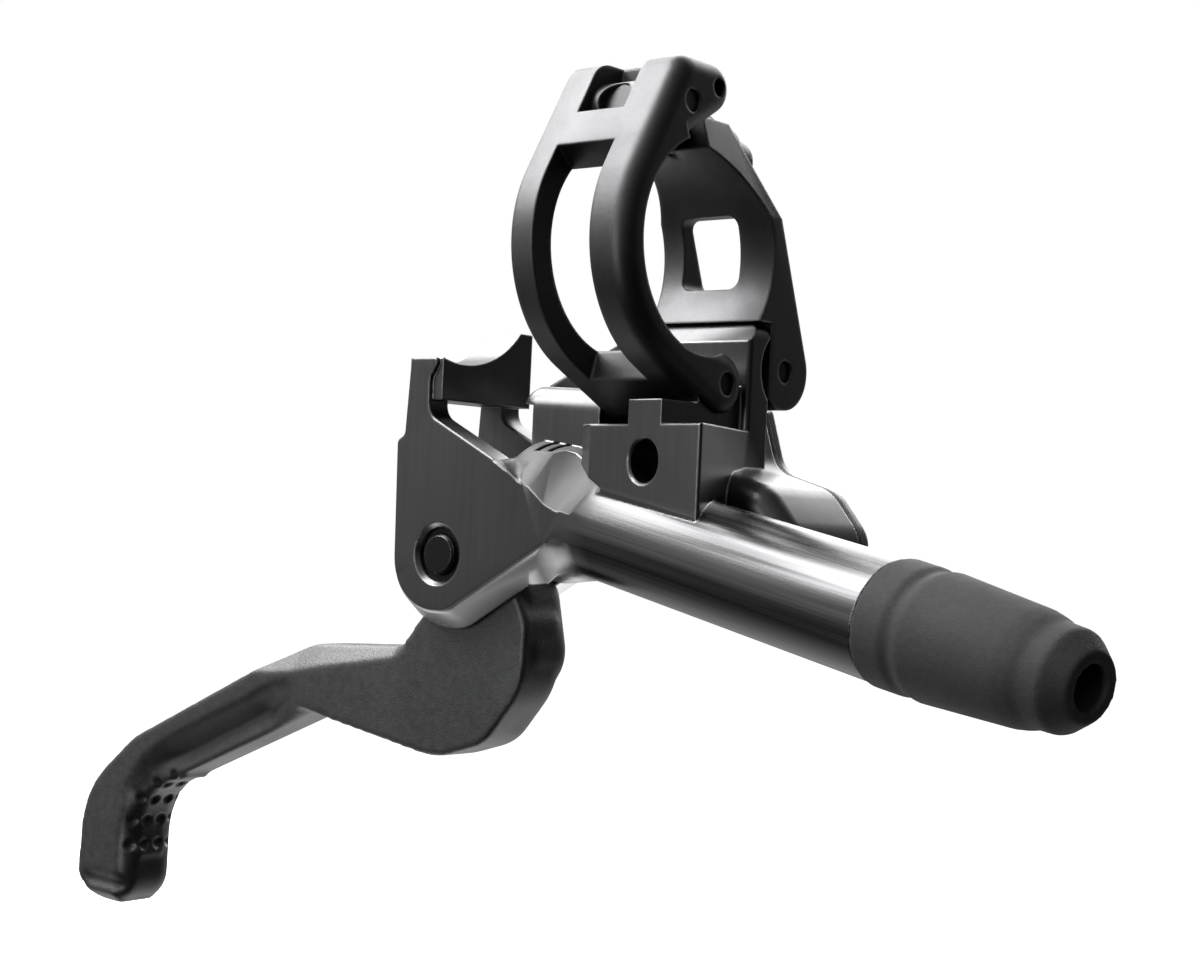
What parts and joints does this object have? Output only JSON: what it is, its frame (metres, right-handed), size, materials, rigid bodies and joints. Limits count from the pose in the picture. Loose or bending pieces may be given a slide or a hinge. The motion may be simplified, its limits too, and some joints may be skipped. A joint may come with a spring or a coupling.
{
  "type": "bicycle brake lever",
  "caption": "Hydraulic brake lever for a flat handlebar: hinged bar clamp, slanted master cylinder with reservoir, rubber hose boot and a short curved finger lever that swings towards the bar.",
  "frame": {"origin": "on the handlebar's axis, in the middle of the clamp's width", "axes": "+X along the handlebar towards the hose end, +Y along the lever's pivot away from the side with the pin's head, +Z from the lever towards the bar"},
  "size_m": [0.1483, 0.0352, 0.0992],
  "materials": {
    "body_anodised": "gunmetal grey anodised, satin on the flats and polished on the barrel",
    "clamp_anodised": "black anodised over a fine blasted surface, satin",
    "lever_composite": "charcoal fibre composite with a faint mottled grain, satin",
    "pin_black_steel": "blackened steel, low sheen",
    "hardware_steel": "zinc plated steel",
    "bush_bronze": "plain bronze bearing metal",
    "piston_aluminium": "clear anodised, smooth",
    "seal_rubber": "matte black rubber",
    "boot_rubber": "matte dark grey rubber with a fine grain"
  },
  "bodies": {
    "body": {"master_cylinder": "body_anodised", "reservoir_cover": "body_anodised", "front_clamp_band": "clamp_anodised", "rear_clamp_band": "clamp_anodised", "front_hinge_pin": "pin_black_steel", "rear_hinge_pin": "pin_black_steel", "pivot_pin": "pin_black_steel", "pivot_clip": "pin_black_steel", "barrel_nut": "hardware_steel", "clamp_bolt": "hardware_steel", "bolt_washer": "hardware_steel", "cover_screws": "hardware_steel", "bleed_screw": "hardware_steel", "stop_ring": "hardware_steel", "return_spring": "hardware_steel", "compression_nut": "hardware_steel", "ear_bushes": "bush_bronze", "hose_olive": "bush_bronze", "dust_seal": "seal_rubber", "reservoir_diaphragm": "seal_rubber", "bleed_seal": "seal_rubber", "hose_boot": "boot_rubber"},
    "lever": {"lever_blade": "lever_composite", "lever_bushes": "bush_bronze"},
    "pushrod": {"trunnion": "bush_bronze", "pushrod": "hardware_steel"},
    "piston": {"piston": "piston_aluminium", "primary_seal": "seal_rubber", "secondary_seal": "seal_rubber"}
  },
  "joints": [
    {"name": "lever_pull", "type": "hinge", "parent": "body", "child": "lever", "pos_m": [-0.0252, 0.0035, -0.03265], "axis": [0, 1, 0], "range_deg": [0, 20], "stiffness_Nm_per_rad": 0.25, "springref_deg": -28.65},
    {"name": "pushrod_swing", "type": "hinge", "parent": "lever", "child": "pushrod", "pos_m": [-0.0252, 0.0035, -0.02525], "axis": [0, 1, 0], "range_deg": [-20, 0]},
    {"name": "piston_stroke", "type": "slide", "parent": "body", "child": "piston", "axis": [0.9611, -0.2182, -0.1692], "range_m": [0, 0.00263], "deforming": ["return_spring"]}
  ],
  "couplings": [
    {"joint": "pushrod_swing", "follows": "lever_pull", "ratio": -1},
    {"joint": "piston_stroke", "follows": "lever_pull", "m_per_rad": 0.00753}
  ]
}
